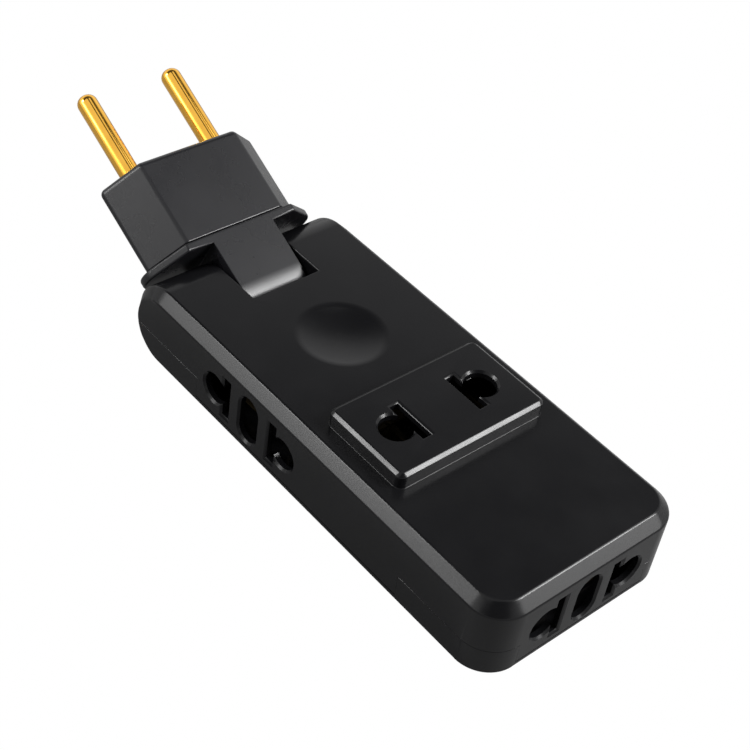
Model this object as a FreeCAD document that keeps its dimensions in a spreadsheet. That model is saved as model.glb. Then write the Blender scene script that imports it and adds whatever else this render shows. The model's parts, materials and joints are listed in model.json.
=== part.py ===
import FreeCAD, Part
import math
import os

import Sketcher
from FreeCAD import Placement, Rotation, Vector

# A travel adapter: a flat two-shell case with a raised outlet on top, one outlet in each long side and one
# in the front end, and a folding two-pin plug that turns on trunnions in a notch at the rear end.
#
# Origin: middle of the case on the surface it lies on. +X points to the front outlet, +Y along the hinge
# axis to the left side, +Z up. Lengths are in millimetres, angles in degrees.

SIZES = (
    # Case
    ("case_length", 96.0),
    ("case_width", 43.0),
    ("case_height", 17.0),
    ("corner_radius", 6.5),
    ("edge_chamfer", 2.0),
    ("side_wall", 1.4),
    ("top_wall", 2.0),
    ("floor_wall", 1.5),
    # Parting line between the two shells
    ("seam_height", 7.15),
    ("seam_gap", 0.08),
    ("tab_play", 0.03),
    ("tab_edge", 0.85),
    ("tab_reach", 12.0),
    ("tab_front_inset", 21.0),
    ("front_tab_half", 14.5),
    # Raised top outlet
    ("pad_reach", 40.85),
    ("pad_depth", 18.6),
    ("pad_width", 32.8),
    ("pad_height", 3.0),
    ("pad_wall", 1.4),
    ("pad_corner", 1.5),
    ("pad_chamfer", 0.9),
    # Openings of every outlet
    ("pin_pitch", 19.0),
    ("hole_radius", 3.0),
    ("blade_pitch", 12.7),
    ("blade_slot_width", 1.9),
    ("blade_slot_length", 8.6),
    ("centre_slot_width", 4.9),
    ("centre_slot_length", 9.7),
    ("side_outlet_reach", 17.85),
    # Thumb dimple
    ("dimple_reach", 24.5),
    ("dimple_radius", 8.7),
    ("dimple_depth", 1.1),
    # Hinge
    ("knuckle_side_play", 0.65),
    ("knuckle_play", 0.15),
    ("cheek_wall", 1.8),
    ("sill_height", 2.0),
    ("trunnion_radius", 3.0),
    ("trunnion_clearance", 0.06),
    ("saddle_half", 3.8),
    ("saddle_clearance", 0.1),
    ("rest_tilt", 26.0),
    # Folding plug, measured from the hinge axis
    ("collar_start", 9.33),
    ("collar_end", 11.0),
    ("collar_flat_half", 12.0),
    ("collar_tip_half", 20.4),
    ("collar_tip_rounding", 4.0),
    ("collar_rounding", 0.6),
    ("waist_inset", 0.5),
    ("head_start", 11.5),
    ("head_end", 29.45),
    ("head_flat_half", 10.7),
    ("head_tip_half", 17.4),
    ("head_half_thickness", 7.17),
    ("head_rounding", 1.2),
    ("knuckle_width", 13.5),
    ("knuckle_nose", 5.9),
    ("barrel_radius", 6.2),
    ("plug_cavity_half", 12.4),
    ("plug_cavity_half_height", 3.6),
    ("plug_cavity_start", 13.6),
    ("plug_front_wall", 4.45),
    ("lead_channel_half", 5.2),
    ("lead_channel_half_height", 1.7),
    ("lead_channel_end", 1.5),
    # Pins
    ("pin_radius", 2.0),
    ("pin_length", 19.0),
    ("pin_tip_rounding", 1.2),
    ("pin_clearance", 0.02),
    ("pin_neck_radius", 1.7),
    ("pin_head_radius", 2.6),
    ("pin_head", 4.5),
    # Contact parts
    ("strip_thickness", 0.6),
    ("neutral_rise", 1.5),
    ("lane_inner", 1.5),
    ("lane_outer", 4.5),
    ("bus_play", 0.65),
    ("bus_branch", 2.8),
    ("clip_sheet", 0.5),
    ("clip_play", 0.1),
    ("clip_length", 7.0),
    ("side_clip_inset", 4.6),
    ("front_clip_inset", 3.6),
    ("top_clip_inset", 2.0),
    ("clip_top_play", 1.6),
    ("tail_half", 1.5),
    ("tail_gap", 0.1),
    ("trunnion_proud", 0.7),
    ("disc_radius", 4.2),
    ("disc_thickness", 1.1),
    ("spring_play", 0.1),
    ("spring_radius", 4.0),
    ("spring_arm_half", 1.5),
    ("spring_foot", 2.5),
    ("lead_thickness", 0.8),
    ("lead_height", 2.4),
    ("lead_place", 3.9),
    ("lead_plate", 1.5),
    # Hooks that hold the front end together
    ("hook_inner", 12.9),
    ("hook_outer", 14.4),
    ("lip_reach", 1.2),
    ("lip_height", 1.5),
    ("hook_play", 0.1),
    ("catch_wall", 1.4),
    # Screws and their bosses
    ("boss_reach", 8.0),
    ("boss_play", 1.1),
    ("boss_radius", 3.3),
    ("boss_meeting", 6.0),
    ("screw_recess_radius", 2.4),
    ("screw_recess_depth", 3.4),
    ("screw_head_radius", 2.2),
    ("screw_head_height", 1.6),
    ("screw_radius", 1.2),
    ("screw_length", 9.0),
    ("screw_play", 0.15),
    ("screw_thread_play", 0.02),
    ("screw_spare", 0.5),
    # Small things on the floor of the lower shell
    ("well_depth", 0.7),
    ("rib_half", 0.6),
)


class Size:
    """A sheet expression together with the number that it stands for."""

    def __init__(self, text, value):
        self.text = text
        self.value = value

    def __add__(self, other):
        other = size(other)
        return Size("(%s + %s)" % (self.text, other.text), self.value + other.value)

    def __sub__(self, other):
        other = size(other)
        return Size("(%s - %s)" % (self.text, other.text), self.value - other.value)

    def __mul__(self, other):
        other = size(other)
        return Size("(%s * %s)" % (self.text, other.text), self.value * other.value)

    def __truediv__(self, other):
        other = size(other)
        return Size("(%s / %s)" % (self.text, other.text), self.value / other.value)

    def __neg__(self):
        return Size("(0 - %s)" % self.text, -self.value)

    def root(self):
        return Size("sqrt(%s)" % self.text, math.sqrt(self.value))


def size(number):
    if isinstance(number, Size):
        return number
    return Size("(%s)" % number, float(number))


class Dimensions:
    """The sheet's sizes, one attribute for each alias."""


document = FreeCAD.newDocument("travel_adapter")
sheet = document.addObject("Spreadsheet::Sheet", "dims")
dim = Dimensions()
for row, (alias, number) in enumerate(SIZES, start=1):
    sheet.set("A%d" % row, alias)
    sheet.set("B%d" % row, str(number))
    sheet.setAlias("B%d" % row, alias)
    setattr(dim, alias, Size("dims." + alias, number))
document.recompute()

pieces = []


# Sketches and features

def new_piece(name):
    body = document.addObject("PartDesign::Body", name)
    body.Label = name
    pieces.append(body)
    return body


def bind(target, prop, value):
    target.setExpression(prop, size(value).text)


def new_sketch(body, name, plane, place):
    """A sketch on one of the body's own origin planes, moved within it by place."""
    support = [feature for feature in body.Origin.OriginFeatures if feature.Role == plane][0]
    sketch = body.newObject("Sketcher::SketchObject", name)
    sketch.AttachmentSupport = [(support, "")]
    sketch.MapMode = "FlatFace"
    for axis, value in zip("xyz", place):
        bind(sketch, "AttachmentOffset.Base." + axis, value)
    return sketch


def pin_coordinate(sketch, kind, geometry, point, value):
    """Tie one coordinate of a point to its distance from the sketch's origin."""
    value = size(value)
    number = sketch.addConstraint(Sketcher.Constraint(kind, -1, 1, geometry, point, value.value))
    sketch.setExpression("Constraints[%d]" % number, value.text)


def pin_point(sketch, geometry, point, x, y):
    pin_coordinate(sketch, "DistanceX", geometry, point, x)
    pin_coordinate(sketch, "DistanceY", geometry, point, y)


def add_loop(sketch, corners):
    """Close a loop through the corners. A corner (x, y, cx, cy, radius) starts an arc about (cx, cy)."""
    starts = []
    ends = []
    centres = []
    for index, corner in enumerate(corners):
        x, y = size(corner[0]).value, size(corner[1]).value
        following = corners[(index + 1) % len(corners)]
        next_x, next_y = size(following[0]).value, size(following[1]).value
        if len(corner) == 2:
            line = Part.LineSegment(Vector(x, y, 0), Vector(next_x, next_y, 0))
            number = sketch.addGeometry(line, False)
        else:
            centre_x, centre_y, radius = (size(value) for value in corner[2:])
            circle = Part.Circle(Vector(centre_x.value, centre_y.value, 0), Vector(0, 0, 1), radius.value)
            begin = math.atan2(y - centre_y.value, x - centre_x.value)
            finish = math.atan2(next_y - centre_y.value, next_x - centre_x.value)
            if finish <= begin:
                finish += 2 * math.pi
            number = sketch.addGeometry(Part.ArcOfCircle(circle, begin, finish), False)
            upright = abs(next_y - y) > abs(next_x - x)
            centres.append((number, "DistanceX", centre_x) if upright else (number, "DistanceY", centre_y))
        starts.append((number, 1))
        ends.append((number, 2))
    for index in range(len(corners)):
        following = (index + 1) % len(corners)
        sketch.addConstraint(Sketcher.Constraint("Coincident", *ends[index], *starts[following]))
    for (number, point), corner in zip(starts, corners):
        pin_point(sketch, number, point, corner[0], corner[1])
    for number, kind, value in centres:
        pin_coordinate(sketch, kind, number, 3, value)


def add_circle(sketch, x, y, radius):
    radius = size(radius)
    centre = Vector(size(x).value, size(y).value, 0)
    number = sketch.addGeometry(Part.Circle(centre, Vector(0, 0, 1), radius.value), False)
    limit = sketch.addConstraint(Sketcher.Constraint("Radius", number, radius.value))
    sketch.setExpression("Constraints[%d]" % limit, radius.text)
    pin_point(sketch, number, 3, x, y)


def rectangle(x_low, x_high, y_low, y_high):
    return [(x_low, y_low), (x_high, y_low), (x_high, y_high), (x_low, y_high)]


def span(first, second, side):
    """Two places mirrored to the given side, lowest first."""
    return (first, second) if side > 0 else (-second, -first)


def loops(body, name, plane, outlines, place=(0, 0, 0)):
    sketch = new_sketch(body, name, plane, place)
    for outline in outlines:
        add_loop(sketch, outline)
    return sketch


def circles(body, name, plane, centres, radius, place=(0, 0, 0)):
    sketch = new_sketch(body, name, plane, place)
    for x, y in centres:
        add_circle(sketch, x, y, radius)
    return sketch


def extrude(body, kind, sketch, length, both_ways=False, backwards=False):
    feature = body.newObject("PartDesign::" + kind, sketch.Name + "_" + kind.lower())
    feature.Profile = sketch
    feature.Midplane = both_ways
    feature.Reversed = backwards
    bind(feature, "Length", length)
    sketch.Visibility = False
    return feature


def pad(body, sketch, length, **way):
    return extrude(body, "Pad", sketch, length, **way)


def pocket(body, sketch, length, **way):
    """A pocket that has to take material away."""
    document.recompute()
    before = body.Shape.Volume
    feature = extrude(body, "Pocket", sketch, length, **way)
    document.recompute()
    if not body.Shape.Volume < before - 1e-3:
        raise ValueError("%s cuts nothing" % feature.Name)
    return feature


def turned(body, kind, sketch, axis):
    feature = body.newObject("PartDesign::" + kind, sketch.Name + "_" + kind.lower())
    feature.Profile = sketch
    feature.ReferenceAxis = (sketch, [axis])
    feature.Angle = 360
    sketch.Visibility = False
    return feature


def dress(body, kind, prop, value, wanted):
    """A fillet or chamfer on those edges of the body so far for which wanted(edge) holds."""
    document.recompute()
    base = body.Tip
    names = ["Edge%d" % number for number, edge in enumerate(base.Shape.Edges, start=1) if wanted(edge)]
    feature = body.newObject("PartDesign::" + kind, base.Name + "_" + kind.lower())
    feature.Base = (base, names)
    bind(feature, prop, value)
    return feature


def near(first, second):
    return abs(first - size(second).value) < 1e-4


def middle(edge):
    return edge.valueAt((edge.FirstParameter + edge.LastParameter) / 2)


def runs_along(edge, direction):
    """True for a straight edge, which is as long as its ends are apart along the direction."""
    if len(edge.Vertexes) < 2:
        return False
    reach = edge.Vertexes[1].Point - edge.Vertexes[0].Point
    return abs(abs(reach.dot(direction)) - edge.Length) < 1e-6


ALONG_X, ALONG_Y, ALONG_Z = Vector(1, 0, 0), Vector(0, 1, 0), Vector(0, 0, 1)
SIDES = (1, -1)

# Places that several pieces share

front_face = dim.case_length / 2
side_face = dim.case_width / 2
nose_radius = dim.case_height / 2
hinge_x = nose_radius - front_face
hinge_z = dim.case_height / 2
ceiling = dim.case_height - dim.top_wall
cavity_radius = (ceiling - dim.floor_wall) / 2
cavity_middle = dim.floor_wall + cavity_radius
cavity_half = side_face - dim.side_wall
cavity_front = front_face - dim.side_wall
notch_half = dim.knuckle_width / 2 + dim.knuckle_side_play
notch_front = hinge_x + nose_radius + dim.knuckle_play
cheek_inner = notch_half + dim.cheek_wall
trunnion_bore = dim.trunnion_radius + dim.trunnion_clearance
pad_centre = notch_front + dim.pad_reach
pad_top = dim.case_height + dim.pad_height
side_outlet_centre = notch_front + dim.side_outlet_reach
outlet_middle = hinge_z
tab_bottom = outlet_middle - dim.centre_slot_length / 2 - dim.tab_edge
half_pitch = dim.pin_pitch / 2
half_blade_pitch = dim.blade_pitch / 2
half_slot = dim.blade_slot_width / 2
half_slot_length = dim.blade_slot_length / 2
lip_top = tab_bottom + dim.lip_height
tab_rear = hinge_x + dim.tab_reach
tab_front = front_face - dim.tab_front_inset
disc_place = cheek_inner + dim.trunnion_proud
spring_place = disc_place + dim.disc_thickness + dim.spring_play
boss_side = spring_place + dim.clip_sheet + dim.boss_play + dim.boss_radius
boss_centres = [(hinge_x + dim.boss_reach, boss_side * side) for side in SIDES]
bus_front = cavity_front - dim.front_clip_inset
bus_rear = notch_front + dim.cheek_wall + dim.bus_play
far = dim.case_length * 2


# The case

def case_profile(rear_middle, rear_radius, front, bottom, top):
    """Side view: straight top and bottom, square front, half-round rear end."""
    return [
        (hinge_x, bottom),
        (front, bottom),
        (front, top),
        (hinge_x, top, hinge_x, rear_middle, rear_radius),
    ]


def case_form(name):
    """The outer form of the whole case with its hollow and the block that the notch is cut in."""
    body = new_piece(name)
    outside = case_profile(hinge_z, nose_radius, front_face, 0, dim.case_height)
    block = loops(body, name + "_outside", "XZ_Plane", [outside])
    pad(body, block, dim.case_width, both_ways=True)
    inside = case_profile(cavity_middle, cavity_radius, cavity_front, dim.floor_wall, ceiling)
    hollow = loops(body, name + "_hollow", "XZ_Plane", [inside])
    pocket(body, hollow, cavity_half * 2, both_ways=True)
    for half_width, radius in (
            (cavity_half, dim.corner_radius - dim.side_wall), (side_face, dim.corner_radius)):
        dress(
            body, "Fillet", "Radius", radius,
            lambda edge: runs_along(edge, ALONG_Z) and near(abs(middle(edge).y), half_width),
        )
    dress(
        body, "Chamfer", "Size", dim.edge_chamfer,
        lambda edge: not runs_along(edge, ALONG_Z)
        and not (runs_along(edge, ALONG_Y) and near(middle(edge).x, hinge_x))
        and (near(abs(middle(edge).y), side_face) or near(middle(edge).z, 0)
             or near(middle(edge).z, dim.case_height)),
    )
    cheeks = case_profile(hinge_z, nose_radius, notch_front + dim.cheek_wall, 0, dim.case_height)
    block = loops(body, name + "_notch_block", "XZ_Plane", [cheeks])
    pad(body, block, cheek_inner * 2, both_ways=True)
    return body


def cut_notch(body):
    """Free the knuckle's space down to the sill, and bore the cheeks for the trunnions."""
    space = rectangle(-far, notch_front, dim.sill_height, far)
    notch = loops(body, body.Name + "_notch", "XZ_Plane", [space])
    pocket(body, notch, notch_half * 2, both_ways=True)
    bore = circles(body, body.Name + "_bore", "XZ_Plane", [(hinge_x, hinge_z)], trunnion_bore)
    pocket(body, bore, cheek_inner * 2, both_ways=True)


def stadium(x, y, width, length):
    """An upright slot with round ends."""
    end = width / 2
    straight = (length - width) / 2
    return [
        (x + end, y - straight),
        (x + end, y + straight, x, y + straight, end),
        (x - end, y + straight),
        (x - end, y - straight, x, y - straight, end),
    ]


def wall_outlet(body, name, plane, centre, depth, place=(0, 0, 0), **way):
    """Two round holes, two blade slots and the centre slot, cut through a wall."""
    rounds = [(centre + half_pitch * side, outlet_middle) for side in SIDES]
    sketch = circles(body, name + "_holes", plane, rounds, dim.hole_radius, place)
    pocket(body, sketch, depth, **way)
    slots = []
    for side in SIDES:
        slot = centre + half_blade_pitch * side
        low, high = outlet_middle - half_slot_length, outlet_middle + half_slot_length
        slots.append(rectangle(slot - half_slot, slot + half_slot, low, high))
    slots.append(stadium(centre, outlet_middle, dim.centre_slot_width, dim.centre_slot_length))
    sketch = loops(body, name + "_slots", plane, slots, place)
    pocket(body, sketch, depth, **way)


def add_hooks(body, outline):
    """Extrude the hook's side view in both front corners."""
    for side in SIDES:
        start = dim.hook_outer if side > 0 else -dim.hook_inner
        name = body.Name + ("_left_hook" if side > 0 else "_right_hook")
        sketch = loops(body, name, "XZ_Plane", [outline], (0, 0, -start))
        pad(body, sketch, dim.hook_outer - dim.hook_inner)


def make_upper_shell():
    body = case_form("upper_shell")
    cut_notch(body)

    # Cut away below the parting line, leaving the tabs that carry the wall outlets
    whole = rectangle(-far, far, -far, far)
    sketch = loops(body, "upper_below_tabs", "XY_Plane", [whole], (0, 0, tab_bottom))
    pocket(body, sketch, far)
    rear = rectangle(-far, tab_rear, -far, dim.seam_height)
    sketch = loops(body, "upper_rear_seam", "XZ_Plane", [rear])
    pocket(body, sketch, far, both_ways=True)
    corners = [rectangle(tab_front, far, *span(dim.front_tab_half, far, side)) for side in SIDES]
    sketch = loops(body, "upper_corner_seam", "XY_Plane", corners, (0, 0, dim.seam_height))
    pocket(body, sketch, far)
    half = dim.saddle_half + dim.saddle_clearance
    gate = rectangle(hinge_x - half, hinge_x + half, 0, hinge_z)
    sketch = loops(body, "upper_saddle_gate", "XZ_Plane", [gate])
    pocket(body, sketch, cheek_inner * 2, both_ways=True)

    # Lips on the front tab that go under the lower shell's catches
    lip = rectangle(
        cavity_front - dim.lip_reach, cavity_front + dim.side_wall / 2, tab_bottom, lip_top)
    add_hooks(body, lip)

    # The raised top outlet
    depth_half, width_half = dim.pad_depth / 2, dim.pad_width / 2
    outline = rectangle(pad_centre - depth_half, pad_centre + depth_half, -width_half, width_half)
    sketch = loops(body, "upper_outlet_pad", "XY_Plane", [outline], (0, 0, ceiling))
    pad(body, sketch, dim.top_wall + dim.pad_height)
    dress(
        body, "Fillet", "Radius", dim.pad_corner,
        lambda edge: runs_along(edge, ALONG_Z) and middle(edge).z > dim.case_height.value,
    )
    dress(body, "Chamfer", "Size", dim.pad_chamfer, lambda edge: near(middle(edge).z, pad_top))
    depth_half, width_half = depth_half - dim.side_wall, width_half - dim.side_wall
    outline = rectangle(pad_centre - depth_half, pad_centre + depth_half, -width_half, width_half)
    sketch = loops(body, "upper_pad_hollow", "XY_Plane", [outline], (0, 0, ceiling))
    pocket(body, sketch, pad_top - dim.pad_wall - ceiling, backwards=True)
    rounds = [(pad_centre, half_pitch * side) for side in SIDES]
    sketch = circles(body, "upper_pad_holes", "XY_Plane", rounds, dim.hole_radius, (0, 0, pad_top))
    pocket(body, sketch, pad_top - ceiling)
    slots = []
    for side in SIDES:
        slot = half_blade_pitch * side
        x_low, x_high = pad_centre - half_slot_length, pad_centre + half_slot_length
        slots.append(rectangle(x_low, x_high, slot - half_slot, slot + half_slot))
    sketch = loops(body, "upper_pad_slots", "XY_Plane", slots, (0, 0, pad_top))
    pocket(body, sketch, pad_top - ceiling)

    # The outlets in the walls
    wall_outlet(body, "upper_side", "XZ_Plane", side_outlet_centre, far, both_ways=True)
    wall_outlet(body, "upper_front", "YZ_Plane", size(0), dim.side_wall * 2, (0, 0, front_face))

    # The thumb dimple, a shallow part of a sphere
    sphere = (dim.dimple_radius * dim.dimple_radius + dim.dimple_depth * dim.dimple_depth)
    sphere = sphere / (dim.dimple_depth * 2)
    lowest = dim.case_height - dim.dimple_depth
    bowl = [
        (0, lowest, 0, lowest + sphere, sphere),
        (dim.dimple_radius, dim.case_height),
        (0, dim.case_height),
    ]
    sketch = loops(body, "upper_dimple", "XZ_Plane", [bowl], (hinge_x + dim.dimple_reach, 0, 0))
    document.recompute()
    turned(body, "Groove", sketch, "V_Axis")

    # Screw bosses hanging from the ceiling beside the hinge
    meeting = (0, 0, dim.boss_meeting)
    sketch = circles(body, "upper_bosses", "XY_Plane", boss_centres, dim.boss_radius, meeting)
    pad(body, sketch, ceiling + dim.top_wall / 2 - dim.boss_meeting)
    pilot = dim.screw_radius + dim.screw_thread_play
    sketch = circles(body, "upper_pilots", "XY_Plane", boss_centres, pilot, meeting)
    reach = dim.screw_recess_depth + dim.screw_length + dim.screw_spare - dim.boss_meeting
    pocket(body, sketch, reach, backwards=True)
    return body


def make_lower_shell():
    body = case_form("lower_shell")

    # Cut away above the parting line, and make room for the upper shell's tabs
    gap = dim.seam_gap
    whole = rectangle(-far, far, -far, far)
    sketch = loops(body, "lower_above_seam", "XY_Plane", [whole], (0, 0, dim.seam_height - gap))
    pocket(body, sketch, far, backwards=True)
    rear, front, half = tab_rear - dim.tab_play, tab_front + dim.tab_play, dim.front_tab_half + dim.tab_play
    rooms = [rectangle(rear, front, *span(cavity_half - gap, far, side)) for side in SIDES]
    rooms.append(rectangle(cavity_front - gap, far, -half, half))
    sketch = loops(body, "lower_tab_rooms", "XY_Plane", rooms, (0, 0, tab_bottom - gap))
    pocket(body, sketch, far, backwards=True)

    # Catches over the upper shell's lips
    low = dim.floor_wall / 2
    post_front = cavity_front - dim.lip_reach - dim.hook_play
    catch_low = lip_top + dim.hook_play
    catch = [
        (post_front - dim.catch_wall, low),
        (post_front, low),
        (post_front, catch_low),
        (cavity_front - dim.hook_play, catch_low),
        (cavity_front - dim.hook_play, catch_low + dim.catch_wall),
        (post_front - dim.catch_wall, catch_low + dim.catch_wall),
    ]
    add_hooks(body, catch)

    # Saddles that close the trunnion bores from below
    post = rectangle(hinge_x - dim.saddle_half, hinge_x + dim.saddle_half, dim.sill_height, hinge_z)
    sketch = loops(body, "lower_saddles", "XZ_Plane", [post])
    pad(body, sketch, cheek_inner * 2, both_ways=True)
    cut_notch(body)

    # Screw bosses with a recess from below
    sketch = circles(body, "lower_bosses", "XY_Plane", boss_centres, dim.boss_radius, (0, 0, low))
    pad(body, sketch, dim.boss_meeting - low)
    sketch = circles(body, "lower_recesses", "XY_Plane", boss_centres, dim.screw_recess_radius)
    pocket(body, sketch, dim.screw_recess_depth, backwards=True)
    passage = dim.screw_radius + dim.screw_play
    sketch = circles(body, "lower_passages", "XY_Plane", boss_centres, passage)
    pocket(body, sketch, far, backwards=True)

    # Wells under the tips of the pins that stand in the top outlet, and ribs that carry the neutral strip
    wells = []
    for side in SIDES:
        edges = span(half_pitch - dim.hole_radius, half_pitch + dim.hole_radius, side)
        wells.append(rectangle(pad_centre - dim.hole_radius, pad_centre + dim.hole_radius, *edges))
    sketch = loops(body, "lower_wells", "XY_Plane", wells, (0, 0, dim.floor_wall))
    pocket(body, sketch, dim.well_depth)
    ribs = []
    for x in (side_outlet_centre, pad_centre, bus_front - dim.clip_length / 2):
        ribs.append(rectangle(x - dim.rib_half, x + dim.rib_half, -dim.lane_outer, -dim.lane_inner))
    sketch = loops(body, "lower_ribs", "XY_Plane", ribs, (0, 0, low))
    pad(body, sketch, bus_bottom(NEUTRAL) - low)
    return body


def make_case_screws():
    """Two self-tapping screws with flat round heads, one in each boss."""
    screws = []
    seat = dim.screw_recess_depth
    for number, (x, y) in enumerate(boss_centres, start=1):
        head = document.addObject("Part::Cylinder", "screw_head_%d" % number)
        bind(head, "Radius", dim.screw_head_radius)
        bind(head, "Height", dim.screw_head_height)
        shank = document.addObject("Part::Cylinder", "screw_shank_%d" % number)
        bind(shank, "Radius", dim.screw_radius)
        bind(shank, "Height", dim.screw_length)
        for solid, z in ((head, seat - dim.screw_head_height), (shank, seat)):
            for axis, value in zip("xyz", (x, y, z)):
                bind(solid, "Placement.Base." + axis, value)
        screw = document.addObject("Part::Fuse", "screw_%d" % number)
        screw.Base = head
        screw.Tool = shank
        screws.append(screw)
    group = document.addObject("Part::Compound", "case_screws")
    group.Label = "case_screws"
    group.Links = screws
    pieces.append(group)


# The contact parts in the case

LINE, NEUTRAL = 1, -1
POLES = ((LINE, "line"), (NEUTRAL, "neutral"))


def bus_bottom(pole):
    """The line strip lies on the floor and the neutral strip on the ribs."""
    return dim.floor_wall if pole == LINE else dim.floor_wall + dim.neutral_rise


def bus_top(pole):
    return bus_bottom(pole) + dim.strip_thickness


leaf_inner = half_blade_pitch - half_slot - dim.clip_play - dim.clip_sheet
leaf_outer = half_pitch + dim.pin_radius + dim.clip_play + dim.clip_sheet
clip_top = ceiling - dim.clip_top_play
side_clip_outer = cavity_half - dim.side_clip_inset
side_clip_inner = side_clip_outer - dim.clip_length


def make_bus(pole, name):
    """A flat strip along the floor with a branch to the hinge spring in its cheek."""
    body = new_piece(name + "_bus")
    branch = bus_rear + dim.bus_branch
    end = spring_place + dim.clip_sheet
    outline = [
        (bus_rear, dim.lane_inner * pole),
        (bus_front, dim.lane_inner * pole),
        (bus_front, dim.lane_outer * pole),
        (branch, dim.lane_outer * pole),
        (branch, end * pole),
        (bus_rear, end * pole),
    ]
    sketch = loops(body, name + "_strip", "XY_Plane", [outline], (0, 0, bus_bottom(pole)))
    pad(body, sketch, dim.strip_thickness)


def channel(low, high, bottom, top):
    """Section of a folded sheet: a web with two leaves standing on it."""
    sheet_metal = dim.clip_sheet
    return [
        (low, bottom),
        (high, bottom),
        (high, top),
        (high - sheet_metal, top),
        (high - sheet_metal, bottom + sheet_metal),
        (low + sheet_metal, bottom + sheet_metal),
        (low + sheet_metal, top),
        (low, top),
    ]


def make_side_clip(pole, name, side, side_name):
    body = new_piece("%s_%s_clip" % (side_name, name))
    low, high = span(leaf_inner, leaf_outer, pole)
    low, high = low + side_outlet_centre, high + side_outlet_centre
    section = channel(low, high, bus_top(pole), clip_top)
    start = side_clip_outer if side > 0 else -side_clip_inner
    sketch = loops(body, body.Name + "_channel", "XZ_Plane", [section], (0, 0, -start))
    pad(body, sketch, dim.clip_length)
    lane = (dim.lane_inner + dim.lane_outer) / 2 * pole
    end = lane + dim.tail_gap * side
    middle_x = (low + high) / 2
    edges = (end, side_clip_outer) if side > 0 else (-side_clip_outer, end)
    tail = rectangle(middle_x - dim.tail_half, middle_x + dim.tail_half, *edges)
    sketch = loops(body, body.Name + "_tail", "XY_Plane", [tail], (0, 0, bus_top(pole)))
    pad(body, sketch, dim.clip_sheet)


def make_front_clip(pole, name):
    body = new_piece("front_%s_clip" % name)
    low, high = span(leaf_inner, leaf_outer, pole)
    section = channel(low, high, bus_top(pole), clip_top)
    start = bus_front - dim.clip_length
    sketch = loops(body, body.Name + "_channel", "YZ_Plane", [section], (0, 0, start))
    pad(body, sketch, dim.clip_length)
    edges = span(dim.lane_inner, leaf_inner + dim.clip_sheet, pole)
    middle_x = bus_front - dim.clip_length / 2
    tail = rectangle(middle_x - dim.tail_half, middle_x + dim.tail_half, *edges)
    sketch = loops(body, body.Name + "_tail", "XY_Plane", [tail], (0, 0, bus_top(pole)))
    pad(body, sketch, dim.clip_sheet)


def make_top_clip(pole, name):
    body = new_piece("top_%s_clip" % name)
    web = pad_centre - half_slot_length - dim.clip_play - dim.clip_sheet
    mouth = pad_centre + half_slot_length
    bottom = ceiling - dim.top_clip_inset - dim.clip_length
    inner, outer = leaf_inner * pole, leaf_outer * pole
    metal = dim.clip_sheet * pole
    section = [
        (web, inner),
        (mouth, inner),
        (mouth, inner + metal),
        (web + dim.clip_sheet, inner + metal),
        (web + dim.clip_sheet, outer - metal),
        (mouth, outer - metal),
        (mouth, outer),
        (web, outer),
    ]
    sketch = loops(body, body.Name + "_channel", "XY_Plane", [section], (0, 0, bottom))
    pad(body, sketch, dim.clip_length)
    x_low, x_high = pad_centre - dim.tail_half, pad_centre + dim.tail_half
    leg = rectangle(x_low, x_high, *span(leaf_inner, leaf_inner + dim.clip_sheet, pole))
    sketch = loops(body, body.Name + "_leg", "XY_Plane", [leg], (0, 0, bus_top(pole)))
    pad(body, sketch, bottom + dim.clip_length - bus_top(pole))
    foot = rectangle(x_low, x_high, *span(dim.lane_inner, leaf_inner + dim.clip_sheet, pole))
    sketch = loops(body, body.Name + "_foot", "XY_Plane", [foot], (0, 0, bus_top(pole)))
    pad(body, sketch, dim.clip_sheet)


def make_hinge_spring(pole, name):
    """A leaf that stands on the strip's branch and bears on the pivot disc."""
    body = new_piece(name + "_hinge_spring")
    arm = dim.spring_arm_half
    neck = hinge_x + (dim.spring_radius * dim.spring_radius - arm * arm).root()
    front = bus_rear + dim.bus_branch
    bottom = bus_top(pole)
    outline = [
        (front, bottom),
        (front, hinge_z + arm),
        (neck, hinge_z + arm, hinge_x, hinge_z, dim.spring_radius),
        (neck, hinge_z - arm),
        (bus_rear, hinge_z - arm),
        (bus_rear, bottom),
    ]
    start = spring_place + dim.clip_sheet if pole == LINE else -spring_place
    sketch = loops(body, name + "_leaf", "XZ_Plane", [outline], (0, 0, -start))
    pad(body, sketch, dim.clip_sheet)
    edges = span(spring_place - dim.spring_foot, spring_place + dim.clip_sheet, pole)
    foot = rectangle(bus_rear, front, *edges)
    sketch = loops(body, name + "_foot", "XY_Plane", [foot], (0, 0, bottom))
    pad(body, sketch, dim.clip_sheet)


# The folding plug, drawn straight out to -X from the hinge axis and then tilted

def on_hinge(body):
    """Place a piece that was drawn about the hinge axis."""
    bind(body, "Placement.Base.x", hinge_x)
    bind(body, "Placement.Base.z", hinge_z)
    axis_place = Vector(hinge_x.value, 0, hinge_z.value)
    body.Placement = Placement(axis_place, Rotation(ALONG_Y, dim.rest_tilt.value))
    bind(body, "Placement.Rotation.Angle", dim.rest_tilt)


def hexagon(flat_half, tip_half, half_thickness):
    return [
        (flat_half, -half_thickness),
        (tip_half, 0),
        (flat_half, half_thickness),
        (-flat_half, half_thickness),
        (-tip_half, 0),
        (-flat_half, -half_thickness),
    ]


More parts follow.
